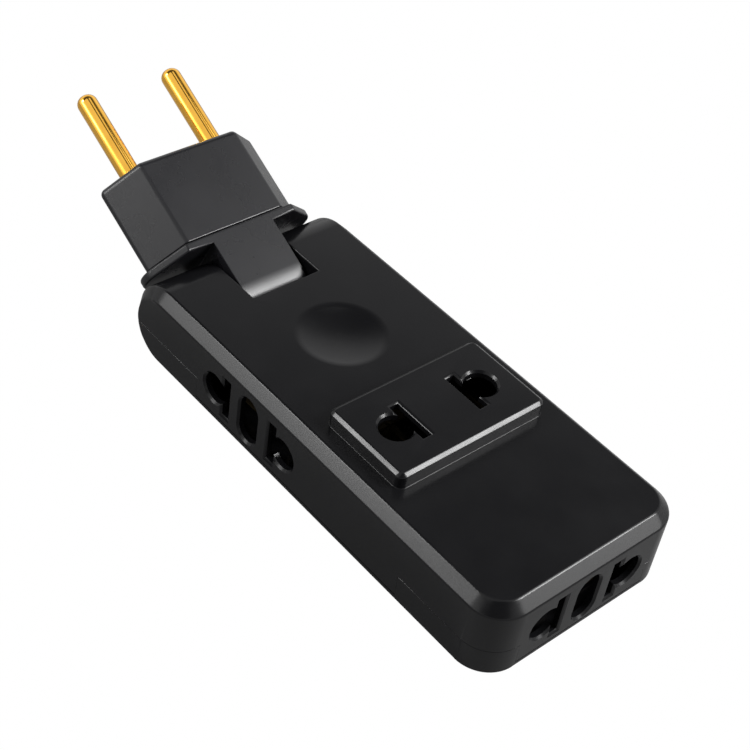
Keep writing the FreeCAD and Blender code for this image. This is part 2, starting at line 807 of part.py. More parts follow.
def make_plug_half(name, side):
    body = new_piece(name)

    # Head, waist and collar
    outline = hexagon(dim.head_flat_half, dim.head_tip_half, dim.head_half_thickness)
    sketch = loops(body, name + "_head", "YZ_Plane", [outline], (0, 0, -dim.head_end))
    pad(body, sketch, dim.head_end - dim.head_start)
    dress(
        body, "Fillet", "Radius", dim.head_rounding,
        lambda edge: not near(middle(edge).x, -dim.head_start),
    )
    inset = dim.waist_inset
    outline = hexagon(
        dim.head_flat_half - inset, dim.head_tip_half - inset * 2, dim.head_half_thickness - inset)
    sketch = loops(body, name + "_waist", "YZ_Plane", [outline], (0, 0, -dim.head_start - inset))
    pad(body, sketch, dim.head_start + inset - dim.collar_start)
    outline = hexagon(dim.collar_flat_half, dim.collar_tip_half, nose_radius)
    sketch = loops(body, name + "_collar", "YZ_Plane", [outline], (0, 0, -dim.collar_end))
    pad(body, sketch, dim.collar_end - dim.collar_start)
    for radius, at_tip in ((dim.collar_tip_rounding, True), (dim.collar_rounding, False)):
        dress(
            body, "Fillet", "Radius", radius,
            lambda edge: runs_along(edge, ALONG_X)
            and near(edge.BoundBox.XMin, -dim.collar_end) and near(edge.BoundBox.XMax, -dim.collar_start)
            and near(middle(edge).z, 0) == at_tip and (at_tip or near(abs(middle(edge).z), nose_radius)),
        )

    # Knuckle, whose nose is round about the hinge axis and so fills the notch at any angle, and trunnions
    barrel = dim.barrel_radius
    nose = dim.knuckle_nose
    drop = -(barrel * barrel - nose * nose).root()
    shoulder = (nose_radius * nose_radius - nose * nose).root()
    root_x = -dim.collar_end
    outline = [
        (root_x, -barrel),
        (0, -barrel, 0, 0, barrel),
        (nose, drop),
        (nose, shoulder, 0, 0, nose_radius),
        (0, nose_radius),
        (root_x, nose_radius),
    ]
    sketch = loops(body, name + "_knuckle", "XZ_Plane", [outline])
    pad(body, sketch, dim.knuckle_width, both_ways=True)
    sketch = circles(body, name + "_trunnions", "XZ_Plane", [(0, 0)], dim.trunnion_radius)
    pad(body, sketch, disc_place * 2, both_ways=True)

    # Hollow for the pins' inner ends, channel for the leads, bores of the trunnions and of the pins
    front_wall = dim.plug_front_wall - dim.head_end
    room = rectangle(front_wall, -dim.plug_cavity_start, -dim.plug_cavity_half, dim.plug_cavity_half)
    sketch = loops(body, name + "_hollow", "XY_Plane", [room])
    pocket(body, sketch, dim.plug_cavity_half_height * 2, both_ways=True)
    half = dim.lead_channel_half
    room = rectangle(-dim.plug_cavity_start - dim.lead_thickness, dim.lead_channel_end, -half, half)
    sketch = loops(body, name + "_channel", "XY_Plane", [room])
    pocket(body, sketch, dim.lead_channel_half_height * 2, both_ways=True)
    sketch = circles(body, name + "_lead_bore", "XZ_Plane", [(0, 0)], dim.lead_channel_half_height)
    pocket(body, sketch, disc_place * 2, both_ways=True)
    places = [(half_pitch * way, 0) for way in SIDES]
    bore = dim.pin_neck_radius + dim.pin_clearance
    sketch = circles(body, name + "_pin_bores", "YZ_Plane", places, bore, (0, 0, -dim.head_end))
    pocket(body, sketch, dim.plug_front_wall, backwards=True)

    # Keep one half
    whole = rectangle(-far, far, -far, far)
    sketch = loops(body, name + "_parting", "XY_Plane", [whole])
    pocket(body, sketch, far, backwards=side < 0)
    on_hinge(body)


def make_plug_pin(pole, name):
    """A turned pin with a domed tip, a neck held in the plug's front wall and a head behind it."""
    body = new_piece("plug_pin_" + name)
    tip = -dim.head_end - dim.pin_length
    rounding = dim.pin_tip_rounding
    tip_turn = dim.pin_radius - rounding
    inner_face = dim.plug_front_wall - dim.head_end
    outline = [
        (tip, 0),
        (inner_face + dim.pin_head, 0),
        (inner_face + dim.pin_head, dim.pin_head_radius),
        (inner_face, dim.pin_head_radius),
        (inner_face, dim.pin_neck_radius),
        (-dim.head_end, dim.pin_neck_radius),
        (-dim.head_end, dim.pin_radius),
        (tip + rounding, dim.pin_radius, tip + rounding, tip_turn, rounding),
        (tip, tip_turn),
    ]
    sketch = loops(body, name + "_pin_outline", "XY_Plane", [outline], (0, half_pitch * pole, 0))
    turned(body, "Revolution", sketch, "H_Axis")
    on_hinge(body)


def make_lead(pole, name):
    """A strip from the pin's head through the knuckle and out along the trunnion."""
    body = new_piece(name + "_lead")
    thick = dim.lead_thickness
    tail = dim.plug_front_wall - dim.head_end + dim.pin_head
    plate = half_pitch + dim.lead_plate
    near_side = dim.lead_place
    outline = [
        (tail, plate * pole),
        (tail, near_side * pole),
        (thick / 2, near_side * pole),
        (thick / 2, disc_place * pole),
        (-thick / 2, disc_place * pole),
        (-thick / 2, (near_side + thick) * pole),
        (tail + thick, (near_side + thick) * pole),
        (tail + thick, plate * pole),
    ]
    sketch = loops(body, name + "_lead_strip", "XY_Plane", [outline])
    pad(body, sketch, dim.lead_height, both_ways=True)
    on_hinge(body)


def make_pivot_disc(pole, name):
    """A turned disc on the trunnion's end that the spring bears on."""
    body = new_piece(name + "_pivot_disc")
    inner = disc_place * pole
    outer = (disc_place + dim.disc_thickness) * pole
    outline = [(0, inner), (dim.disc_radius, inner), (dim.disc_radius, outer), (0, outer)]
    sketch = loops(body, name + "_disc_outline", "XY_Plane", [outline])
    turned(body, "Revolution", sketch, "V_Axis")
    on_hinge(body)


make_upper_shell()
make_lower_shell()
make_case_screws()
for pole, name in POLES:
    make_bus(pole, name)
    make_top_clip(pole, name)
    make_side_clip(pole, name, 1, "left")
    make_side_clip(pole, name, -1, "right")
    make_front_clip(pole, name)
    make_hinge_spring(pole, name)
    make_plug_pin(pole, name)
    make_lead(pole, name)
    make_pivot_disc(pole, name)
make_plug_half("plug_top_half", 1)
make_plug_half("plug_bottom_half", -1)

document.recompute()
for item in document.Objects:
    if "Invalid" in item.State or "Error" in item.State:
        raise ValueError("%s did not build: %s" % (item.Name, item.State))
for piece in pieces:
    if piece.Shape.isNull() or not piece.Shape.isValid():
        raise ValueError("%s has no valid shape" % piece.Label)

os.makedirs("parts", exist_ok=True)
for piece in pieces:
    piece.Shape.exportStep("parts/%s.step" % piece.Label)
    box = piece.Shape.BoundBox
    print("%-22s %d solid(s) %9.1f mm3  x %.2f..%.2f  y %.2f..%.2f  z %.2f..%.2f" % (
        piece.Label, len(piece.Shape.Solids), piece.Shape.Volume,
        box.XMin, box.XMax, box.YMin, box.YMax, box.ZMin, box.ZMax))
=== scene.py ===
import json
import math

import bmesh
import bpy
from mathutils import Matrix, Vector


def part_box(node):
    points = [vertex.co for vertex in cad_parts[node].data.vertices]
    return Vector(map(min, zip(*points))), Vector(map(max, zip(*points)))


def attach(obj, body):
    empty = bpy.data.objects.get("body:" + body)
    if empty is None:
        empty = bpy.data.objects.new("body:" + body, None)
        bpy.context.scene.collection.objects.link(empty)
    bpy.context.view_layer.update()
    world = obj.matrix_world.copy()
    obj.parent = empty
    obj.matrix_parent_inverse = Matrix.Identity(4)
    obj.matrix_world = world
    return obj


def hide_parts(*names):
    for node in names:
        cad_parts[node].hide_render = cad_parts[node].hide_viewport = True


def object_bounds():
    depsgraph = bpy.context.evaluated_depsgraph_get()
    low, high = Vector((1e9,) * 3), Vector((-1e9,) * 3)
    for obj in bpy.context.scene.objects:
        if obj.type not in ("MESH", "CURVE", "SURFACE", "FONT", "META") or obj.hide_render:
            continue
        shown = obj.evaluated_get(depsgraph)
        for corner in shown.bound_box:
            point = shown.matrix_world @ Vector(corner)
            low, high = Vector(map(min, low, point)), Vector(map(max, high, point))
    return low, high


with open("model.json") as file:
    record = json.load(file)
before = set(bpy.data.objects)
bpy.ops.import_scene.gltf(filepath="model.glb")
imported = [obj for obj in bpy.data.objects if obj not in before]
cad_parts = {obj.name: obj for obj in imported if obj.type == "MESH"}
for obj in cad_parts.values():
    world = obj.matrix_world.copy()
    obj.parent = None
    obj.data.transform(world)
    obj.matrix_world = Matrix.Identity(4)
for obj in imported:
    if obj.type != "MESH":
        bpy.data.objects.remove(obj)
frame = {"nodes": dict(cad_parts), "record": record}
cad_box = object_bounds()
scene = bpy.context.scene
MM = 0.001


# The case: two shells moulded in black plastic with a fine satin skin. They meet along a thin parting line,
# and two screws and two hooks hold them together. The outside edges have the small radius that the mould
# leaves, and the mouths of the openings are flared.

EDGE_RADIUS = 0.14 * MM
RIM_RADIUS = 0.28 * MM
ROUNDING_STEPS = 3
SHARP_ANGLE = math.radians(24)
FLAT_ANGLE = math.radians(0.5)
CREASE_ANGLE = math.radians(32)
BROAD_FACE_WEIGHT = 80
MERGE_DISTANCE = 0.002 * MM
TOUCH = 0.02 * MM
PAD_HEIGHT = 3.0 * MM
PAD_CHAMFER = 0.9 * MM
PAD_RIM_SHIFT = 0.18 * MM
PAD_SHOULDER_RISE = 0.3 * MM
PAD_MOUTHS_HALF = Vector((7.0, 13.5, 0)) * MM
CHAMFER_REACH = 2.2 * MM
OUTLET_HALF = 13.5 * MM
PAD_WALL = 1.5 * MM
LEAD_IN = 0.4 * MM
LEAD_SPARE = 0.1 * MM
BLADE_PLACE = 6.35 * MM
BLADE_HALF = (0.95 * MM, 4.3 * MM)
CENTRE_HALF = (2.45 * MM, 4.85 * MM)
QUARTER_STEPS = 12
MOUTH_LOW = 3.2 * MM
MOUTH_HIGH = 13.8 * MM
NOISE_LOW = 0.3
NOISE_HIGH = 0.7
GRAIN_SCALE = 5200.0
CLOUD_SCALE = 38.0
SMEAR_SCALE = 160.0
SKIN_GRAIN_DEPTH = 0.02 * MM
PLASTIC_IOR = 1.5

case_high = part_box("lower_shell")[1]
pad_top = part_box("upper_shell")[1].z
top_face = pad_top - PAD_HEIGHT
mounts = {mount["name"]: mount for mount in frame["record"]["mounts"]}
pad_middle = mounts["top_hole_line"]["pos_m"][0]
side_middle = sum(mounts["left_hole_" + pole]["pos_m"][0] for pole in ("line", "neutral")) / 2


def merged(node):
    """A copy of a CAD node's mesh, joined up and with its flat faces whole."""
    work = bmesh.new()
    work.from_mesh(frame["nodes"][node].data)
    bmesh.ops.remove_doubles(work, verts=work.verts, dist=MERGE_DISTANCE)
    bmesh.ops.dissolve_limit(work, angle_limit=FLAT_ANGLE, verts=work.verts, edges=work.edges)
    return work


def middle(edge):
    """The point halfway along the edge."""
    return (edge.verts[0].co + edge.verts[1].co) / 2


def round_edges(work, radius, wanted):
    """Round the sharp edges for which wanted(edge) holds."""
    sharp = []
    for edge in work.edges:
        if edge.is_manifold and edge.calc_face_angle(0) > SHARP_ANGLE and wanted(edge):
            sharp.append(edge)
    bmesh.ops.bevel(
        work, geom=sharp, offset=radius, offset_type="OFFSET", affect="EDGES", segments=ROUNDING_STEPS,
        profile=0.5, material=-1, clamp_overlap=False)


def add_to(work, part):
    """Put the forms of part into work as well."""
    mesh = bpy.data.meshes.new("part")
    part.to_mesh(mesh)
    part.free()
    work.from_mesh(mesh)


def lead_in(work, laid, along, half_along, half_across, corner):
    """Add a tapered plug to work, as wide as an opening with its flared mouth. A corner of 0 is sharp."""
    grow = LEAD_IN + LEAD_SPARE
    depth = LEAD_IN + 2 * LEAD_SPARE
    plug = bmesh.new()
    bmesh.ops.create_grid(plug, x_segments=1, y_segments=1, size=1.0)
    bmesh.ops.scale(plug, verts=plug.verts, vec=(half_along + grow, half_across + grow, 1))
    if corner:
        bmesh.ops.bevel(
            plug, geom=plug.verts[:], offset=corner + grow, offset_type="OFFSET", affect="VERTICES",
            segments=QUARTER_STEPS, profile=0.5, material=-1, clamp_overlap=False)
        bmesh.ops.remove_doubles(plug, verts=plug.verts, dist=MERGE_DISTANCE)
    bmesh.ops.inset_region(
        plug, faces=plug.faces[:], thickness=depth, depth=-depth, use_boundary=True, use_even_offset=True)
    bmesh.ops.holes_fill(plug, edges=plug.edges)
    bmesh.ops.translate(plug, verts=plug.verts, vec=(along, 0, LEAD_SPARE))
    bmesh.ops.transform(plug, matrix=laid, verts=plug.verts)
    add_to(work, plug)


def carved(mesh, tools):
    """The mesh with the forms in tools taken out of it."""
    bmesh.ops.remove_doubles(tools, verts=tools.verts, dist=MERGE_DISTANCE)
    bmesh.ops.recalc_face_normals(tools, faces=tools.faces)
    tool_mesh = bpy.data.meshes.new("mouths")
    tools.to_mesh(tool_mesh)
    tools.free()
    block, tool = bpy.data.objects.new("carving", mesh), bpy.data.objects.new("mouths", tool_mesh)
    scene.collection.objects.link(block)
    scene.collection.objects.link(tool)
    cut = block.modifiers.new("mouths", "BOOLEAN")
    cut.operation = "DIFFERENCE"
    cut.solver = "EXACT"
    cut.object = tool
    result = bpy.data.meshes.new_from_object(block.evaluated_get(bpy.context.evaluated_depsgraph_get()))
    bpy.data.objects.remove(block)
    bpy.data.objects.remove(tool)
    return result


def finished(work, name):
    """The piece's mesh, kept inside the solid's box and shaded smooth up to its sharp corners."""
    for vertex in work.verts:
        for axis in range(3):
            vertex.co[axis] = min(max(vertex.co[axis], cad_box[0][axis]), cad_box[1][axis])
    mesh = bpy.data.meshes.new(name)
    work.to_mesh(mesh)
    work.free()
    mesh.shade_smooth()
    mesh.set_sharp_from_angle(angle=CREASE_ANGLE)
    return mesh


def show(mesh, name, body, slot, material, *nodes):
    """Make the finished mesh a piece that rides on the body and stands for the nodes."""
    piece = bpy.data.objects.new(name, mesh)
    scene.collection.objects.link(piece)
    mesh.materials.clear()
    mesh.materials.append(material)
    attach(piece, body)
    if nodes:
        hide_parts(*nodes)
    return piece


def weigh_normals(piece):
    """Let the broad faces rule the shading, so that the roundings read as roundings."""
    modifier = piece.modifiers.new("weighted_normals", "WEIGHTED_NORMAL")
    modifier.keep_sharp = True
    modifier.weight = BROAD_FACE_WEIGHT


def noise(nodes, vector, scale, detail):
    """A noise texture's value at the vector."""
    texture = nodes.new("ShaderNodeTexNoise")
    texture.inputs["Scale"].default_value = scale
    texture.inputs["Detail"].default_value = detail
    nodes.id_data.links.new(vector, texture.inputs["Vector"])
    return texture.outputs["Fac"]


def spread(nodes, value, low, high):
    """Map a noise texture's usual range on to the wanted one."""
    remap = nodes.new("ShaderNodeMapRange")
    remap.inputs["From Min"].default_value = NOISE_LOW
    remap.inputs["From Max"].default_value = NOISE_HIGH
    remap.inputs["To Min"].default_value = low
    remap.inputs["To Max"].default_value = high
    nodes.id_data.links.new(value, remap.inputs["Value"])
    return remap.outputs["Result"]


def moulded_skin_group():
    """Satin moulded skin: a fine grain height, a slow cloudiness and a faint smear of handling."""
    group = bpy.data.node_groups.new("moulded_skin", "ShaderNodeTree")
    for name, scale in (("Grain", GRAIN_SCALE), ("Cloud", CLOUD_SCALE), ("Smear", SMEAR_SCALE)):
        given_scale = group.interface.new_socket(
            name=name + " Scale", in_out="INPUT", socket_type="NodeSocketFloat")
        given_scale.default_value = scale
        group.interface.new_socket(name=name, in_out="OUTPUT", socket_type="NodeSocketFloat")
    nodes, links = group.nodes, group.links
    given = nodes.new("NodeGroupInput")
    result = nodes.new("NodeGroupOutput")
    place = nodes.new("ShaderNodeTexCoord").outputs["Object"]
    for name, detail in (("Grain", 3.0), ("Cloud", 2.0), ("Smear", 4.0)):
        texture = nodes.new("ShaderNodeTexNoise")
        texture.inputs["Detail"].default_value = detail
        links.new(place, texture.inputs["Vector"])
        links.new(given.outputs[name + " Scale"], texture.inputs["Scale"])
        links.new(texture.outputs["Fac"], result.inputs[name])
    return group


moulded_skin = moulded_skin_group()


def moulded_plastic(name, dark, light, smooth, rough, grain, gloss):
    """Black moulded plastic: dark and light are its two near-black tones."""
    material = bpy.data.materials.new(name)
    material.use_nodes = True
    nodes, links = material.node_tree.nodes, material.node_tree.links
    shader = nodes["Principled BSDF"]
    skin = nodes.new("ShaderNodeGroup")
    skin.node_tree = moulded_skin
    tone = nodes.new("ShaderNodeMix")
    tone.data_type = "RGBA"
    tone.inputs["A"].default_value = (*dark, 1)
    tone.inputs["B"].default_value = (*light, 1)
    links.new(spread(nodes, skin.outputs["Cloud"], 0.0, 1.0), tone.inputs["Factor"])
    links.new(tone.outputs["Result"], shader.inputs["Base Color"])
    links.new(spread(nodes, skin.outputs["Smear"], smooth, rough), shader.inputs["Roughness"])
    bump = nodes.new("ShaderNodeBump")
    bump.inputs["Strength"].default_value = grain
    bump.inputs["Distance"].default_value = SKIN_GRAIN_DEPTH
    links.new(skin.outputs["Grain"], bump.inputs["Height"])
    links.new(bump.outputs["Normal"], shader.inputs["Normal"])
    shader.inputs["IOR"].default_value = PLASTIC_IOR
    shader.inputs["Specular IOR Level"].default_value = gloss
    return material


def in_pad_mouths(place):
    """True for the corners of the top outlet's openings."""
    inside = abs(place.x - pad_middle) < PAD_MOUTHS_HALF.x and abs(place.y) < PAD_MOUTHS_HALF.y
    return inside and place.z > pad_top - PAD_WALL


def on_top(edge):
    """True for the outer corners of the top face and its chamfer."""
    height = middle(edge).z
    return edge.is_convex and top_face - CHAMFER_REACH < height < top_face + TOUCH


def on_walls(edge):
    """True for the edges of the pad, the seam and the underside, but not of openings or the tabs' sides."""
    place = middle(edge)
    if place.z > top_face - CHAMFER_REACH:
        at_foot = not edge.is_convex and abs(place.z - top_face) < TOUCH
        return at_foot or place.z > top_face + TOUCH and not in_pad_mouths(place)
    on_side = abs(place.y) > case_high.y - TOUCH
    on_front = place.x > case_high.x - TOUCH
    in_mouths = MOUTH_LOW < place.z < MOUTH_HIGH and (
        on_side and abs(place.x - side_middle) < OUTLET_HALF or on_front and abs(place.y) < OUTLET_HALF)
    reach = edge.verts[0].co - edge.verts[1].co
    upright = abs(reach.z) > abs(reach.x) + abs(reach.y)
    return (on_side or on_front) and not upright and not in_mouths


case_plastic = moulded_plastic(
    "case_plastic", (0.003, 0.003, 0.0035), (0.0045, 0.0045, 0.005), 0.20, 0.26, grain=0.2, gloss=0.2)

# Flared mouths round the holes and slots of the four outlets
rounds, blades = bmesh.new(), bmesh.new()
for outlet in ("top", "left", "right", "front"):
    line, neutral = (mounts["%s_hole_%s" % (outlet, pole)] for pole in ("line", "neutral"))
    outward = Vector(line["axis"])
    spread_way = (Vector(line["pos_m"]) - Vector(neutral["pos_m"])).normalized()
    hole_place = (Vector(line["pos_m"]) - Vector(neutral["pos_m"])).length / 2
    hole_radius = line["dims"]["r_mm"] * MM
    centre = (Vector(line["pos_m"]) + Vector(neutral["pos_m"])) / 2
    face_centre = centre + outward * line["dims"]["length_mm"] * MM / 2
    laid = Matrix((spread_way, outward.cross(spread_way), outward)).transposed().to_4x4()
    laid.translation = face_centre
    for side in (1, -1):
        lead_in(rounds, laid, side * hole_place, hole_radius, hole_radius, hole_radius)
        lead_in(blades, laid, side * BLADE_PLACE, *BLADE_HALF, 0.0)
    if outlet != "top":
        lead_in(rounds, laid, 0.0, *CENTRE_HALF, CENTRE_HALF[0])
work = merged("upper_shell")
shell = bpy.data.meshes.new("carved_shell")
work.to_mesh(shell)
work.free()
shell = carved(carved(shell, rounds), blades)
work = bmesh.new()
work.from_mesh(shell)
bmesh.ops.remove_doubles(work, verts=work.verts, dist=MERGE_DISTANCE)

# The pad's chamfer is a little wider than it is deep
outer = [vertex for vertex in work.verts if vertex.co.z > top_face + TOUCH and not in_pad_mouths(vertex.co)]
rim = [vertex for vertex in outer if abs(vertex.co.z - pad_top) < TOUCH]
rim_half = max(vertex.co.x for vertex in rim) - pad_middle
rim_half_width = max(vertex.co.y for vertex in rim)
for vertex in outer:
    depth = (pad_top - vertex.co.z) / PAD_CHAMFER
    if depth < 1 + TOUCH / PAD_CHAMFER:
        vertex.co.x += (vertex.co.x - pad_middle) * (1 - depth) * PAD_RIM_SHIFT / rim_half
        vertex.co.y += vertex.co.y * (1 - depth) * PAD_RIM_SHIFT / rim_half_width
        vertex.co.z += depth * PAD_SHOULDER_RISE
round_edges(work, RIM_RADIUS, on_top)
round_edges(work, EDGE_RADIUS, on_walls)
case_top = show(
    finished(work, "case_top_shell"), "case_top", "case", "case_plastic", case_plastic, "upper_shell")

work = merged("lower_shell")
round_edges(work, EDGE_RADIUS, on_walls)
case_bottom = show(
    finished(work, "case_bottom_shell"), "case_bottom", "case", "case_plastic", case_plastic, "lower_shell")
weigh_normals(case_top)
weigh_normals(case_bottom)


# The folding plug: two halves moulded in a slightly greyer black plastic and welded at the side tips of the
# hexagon, with the head, the collar and the knuckle that turns in the case's notch.

COLLAR_START = 9.33 * MM
COLLAR_END = 11.0 * MM
COLLAR_RADIUS = 0.38 * MM
HEAD_START = 11.5 * MM
HEAD_FOOT_RADIUS = 0.22 * MM
KNUCKLE_HALF = 6.75 * MM

plug_plastic = moulded_plastic(
    "plug_plastic", (0.006, 0.006, 0.007), (0.009, 0.009, 0.0105), 0.25, 0.31, grain=0.35, gloss=0.3)
hinge = Vector(frame["record"]["behaviour"]["joints"][0]["pos_m"])
pin_axis = Vector(mounts["plug_pin_line"]["axis"])
plug_up = Vector((0, 1, 0)).cross(pin_axis)


def off_parting(edge):
    """True for an edge that doesn't lie in the plane where the two halves are welded."""
    return max(abs((end.co - hinge).dot(plug_up)) for end in edge.verts) > TOUCH


def ends_at(edge, distance):
    """True for an outer corner that runs across the plug at that distance from the hinge."""
    reach = [(end.co - hinge).dot(pin_axis) for end in edge.verts]
    return edge.is_convex and off_parting(edge) and max(abs(value - distance) for value in reach) < TOUCH


def at_collar(edge):
    """True for the collar's rims, on both faces."""
    on_knuckle = abs(middle(edge).y) < KNUCKLE_HALF + TOUCH
    return ends_at(edge, COLLAR_START) and not on_knuckle or ends_at(edge, COLLAR_END)


for half in ("plug_top_half", "plug_bottom_half"):
    work = merged(half)
    round_edges(work, COLLAR_RADIUS, at_collar)
    round_edges(work, HEAD_FOOT_RADIUS, lambda edge: ends_at(edge, HEAD_START))
    round_edges(work, EDGE_RADIUS, off_parting)
    skin = finished(work, half + "_skin")
    weigh_normals(show(skin, half + "_moulding", "plug", "plug_plastic", plug_plastic, half))


# The two pins: turned brass rod, polished, with a domed tip. Each is held by its neck in the plug's front
# wall and has a wider head behind it, where the lead is joined.

PIN_LENGTH = 19.0 * MM
PIN_DOME = 1.75 * MM
PIN_NECK_RADIUS = 1.7 * MM
PIN_NECK = 4.45 * MM
PIN_HEAD_RADIUS = 2.6 * MM
PIN_HEAD = 4.5 * MM
PIN_HEAD_EDGE = 0.2 * MM
ROUND_STEPS = 64
DOME_STEPS = 10
HEAD_EDGE_STEPS = 2
TONE_SCALE = 420.0
POLISH_SCALE = 900.0
TOOL_MARK_SCALE = 2400.0
TOOL_MARK_DEPTH = 0.01 * MM


def turned(corners, roundings):
    """Turn a profile of (radius, height) corners about Z. A rounding is (corner number, radius, steps)."""
    work = bmesh.new()
    chain = [work.verts.new((radius, 0, height)) for radius, height in corners]
    for first, second in zip(chain, chain[1:]):
        work.edges.new((first, second))
    for number, radius, steps in roundings:
        bmesh.ops.bevel(
            work, geom=[chain[number]], offset=radius, offset_type="OFFSET", affect="VERTICES",
            segments=steps, profile=0.5, material=-1)
    bmesh.ops.spin(
        work, geom=work.verts[:] + work.edges[:], cent=(0, 0, 0), axis=(0, 0, 1), angle=math.tau,
        steps=ROUND_STEPS, use_merge=True)
    bmesh.ops.remove_doubles(work, verts=work.verts, dist=MERGE_DISTANCE)
    bmesh.ops.recalc_face_normals(work, faces=work.faces)
    return work


def metal(name, deep, bright, smooth, rough, grain, along=Vector((1, 1, 1)), turn=0.0):
    """Metal with two tones. The grain is drawn out along the axis with the smallest scale."""
    material = bpy.data.materials.new(name)
    material.use_nodes = True
    nodes, links = material.node_tree.nodes, material.node_tree.links
    shader = nodes["Principled BSDF"]
    place = nodes.new("ShaderNodeTexCoord").outputs["Object"]
    tone = nodes.new("ShaderNodeMix")
    tone.data_type = "RGBA"
    tone.inputs["A"].default_value = (*deep, 1)
    tone.inputs["B"].default_value = (*bright, 1)
    cloud = noise(nodes, place, TONE_SCALE, 3.0)
    links.new(spread(nodes, cloud, 0.0, 1.0), tone.inputs["Factor"])
    links.new(tone.outputs["Result"], shader.inputs["Base Color"])
    smear = noise(nodes, place, POLISH_SCALE, 4.0)
    links.new(spread(nodes, smear, smooth, rough), shader.inputs["Roughness"])
    laid = nodes.new("ShaderNodeMapping")
    laid.inputs["Rotation"].default_value = (0, turn, 0)
    laid.inputs["Scale"].default_value = along
    links.new(place, laid.inputs["Vector"])
    bump = nodes.new("ShaderNodeBump")
    bump.inputs["Strength"].default_value = grain
    bump.inputs["Distance"].default_value = TOOL_MARK_DEPTH
    links.new(noise(nodes, laid.outputs["Vector"], TOOL_MARK_SCALE, 1.0), bump.inputs["Height"])
    links.new(bump.outputs["Normal"], shader.inputs["Normal"])
    shader.inputs["Metallic"].default_value = 1.0
    return material


LATHE_LINES = Vector((1.0, 0.05, 0.05))

plug_tilt = math.atan2(pin_axis.z, -pin_axis.x)
pin_brass = metal(
    "pin_brass", (0.86, 0.455, 0.065), (0.93, 0.51, 0.08), 0.08, 0.12, 0.02, LATHE_LINES, -plug_tilt)

for pole in ("line", "neutral"):
    mount = mounts["plug_pin_" + pole]
    pin_radius = mount["dims"]["r_mm"] * MM
    wall = Vector(mount["pos_m"]) - pin_axis * mount["dims"]["length_mm"] * MM / 2
    work = turned(
        [
            (0, PIN_LENGTH),
            (pin_radius, PIN_LENGTH),
            (pin_radius, 0),
            (PIN_NECK_RADIUS, 0),
            (PIN_NECK_RADIUS, -PIN_NECK),
            (PIN_HEAD_RADIUS, -PIN_NECK),
            (PIN_HEAD_RADIUS, -PIN_NECK - PIN_HEAD),
            (0, -PIN_NECK - PIN_HEAD),
        ],
        [
            (1, PIN_DOME, DOME_STEPS),
            (5, PIN_HEAD_EDGE, HEAD_EDGE_STEPS),
            (6, PIN_HEAD_EDGE, HEAD_EDGE_STEPS),
        ])
    facing = pin_axis.to_track_quat("Z", "Y").to_matrix().to_4x4()
    bmesh.ops.transform(work, matrix=Matrix.Translation(wall) @ facing, verts=work.verts)
    skin = finished(work, "pin_" + pole)
    show(skin, "turned_pin_" + pole, "plug", "pin_brass", pin_brass, "plug_pin_" + pole)


# The contact parts: clips, strips, springs, leads and pivot discs of stamped brass, dull from the press. The
# shells and the plug hold them. Their brass is painted near black as painted shade, so that they show only
# as dark shapes behind the openings.

CONTACT_KINDS = ("clip", "bus", "spring", "lead", "disc")

# Painted shade: the brass colour is near black, so the parts read as dark shapes in the shade behind the
# openings
contact_brass = metal("contact_brass", (0.03, 0.022, 0.012), (0.05, 0.038, 0.02), 0.55, 0.7, 0.1)
for name, node in frame["nodes"].items():
    if any(kind in name for kind in CONTACT_KINDS):
        for material_slot in node.material_slots:
            material_slot.material = contact_brass


# The screws: two zinc-plated steel self-tapping screws with flat round heads and a cross recess. Their heads
# are sunk in the underside, and they draw the two shells together.

SCREW_HEAD_RADIUS = 2.2 * MM
SCREW_HEAD = 1.6 * MM
SCREW_RADIUS = 1.2 * MM
SCREW_EDGE = 0.3 * MM
SCREW_EDGE_STEPS = 3
SCREW_POINT = 0.96 * MM
CROSS_ARM = 1.3 * MM
CROSS_HALF = 0.3 * MM
CROSS_DEPTH = 1.0 * MM
CROSS_TAPER = 0.7
CUT_DISTANCE = MERGE_DISTANCE / 10

screw_steel = metal("screw_steel", (0.40, 0.40, 0.42), (0.55, 0.55, 0.56), 0.25, 0.4, 0.05)
screws_low, screws_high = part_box("case_screws")
screw_length = screws_high.z - screws_low.z
both = bmesh.new()
for side in (1, -1):
    work = turned(
        [
            (0, 0),
            (SCREW_HEAD_RADIUS, 0),
            (SCREW_HEAD_RADIUS, SCREW_HEAD),
            (SCREW_RADIUS, SCREW_HEAD),
            (SCREW_RADIUS, screw_length),
            (0, screw_length),
        ],
        [(1, SCREW_EDGE, SCREW_EDGE_STEPS), (4, SCREW_POINT, 1)])
    for reach in (CROSS_HALF, -CROSS_HALF, CROSS_ARM, -CROSS_ARM):
        for direction in ((1, 0, 0), (0, 1, 0)):
            bmesh.ops.bisect_plane(
                work, geom=work.verts[:] + work.edges[:] + work.faces[:], dist=CUT_DISTANCE,
                plane_co=Vector(direction) * reach, plane_no=direction)
    arms = []
    for face in work.faces:
        place = face.calc_center_median()
        across, along = sorted((abs(place.x), abs(place.y)))
        if abs(place.z) < TOUCH and across < CROSS_HALF and along < CROSS_ARM:
            arms.append(face)
    pushed = bmesh.ops.extrude_face_region(work, geom=arms)["geom"]
    bmesh.ops.delete(work, geom=arms, context="FACES")
    bottom = [item for item in pushed if isinstance(item, bmesh.types.BMVert)]
    bmesh.ops.translate(work, verts=bottom, vec=(0, 0, CROSS_DEPTH))
    bmesh.ops.scale(work, verts=bottom, vec=(CROSS_TAPER, CROSS_TAPER, 1))
    place = Vector((
        (screws_low.x + screws_high.x) / 2, side * (screws_high.y - SCREW_HEAD_RADIUS), screws_low.z))
    bmesh.ops.translate(work, verts=work.verts, vec=place)
    add_to(both, work)
show(finished(both, "screws"), "cross_head_screws", "case", "screw_steel", screw_steel, "case_screws")


# The studio: a plain white floor under a pale surround that is darker overhead, softboxes that graze the
# edges, and the camera where the photograph was taken from.

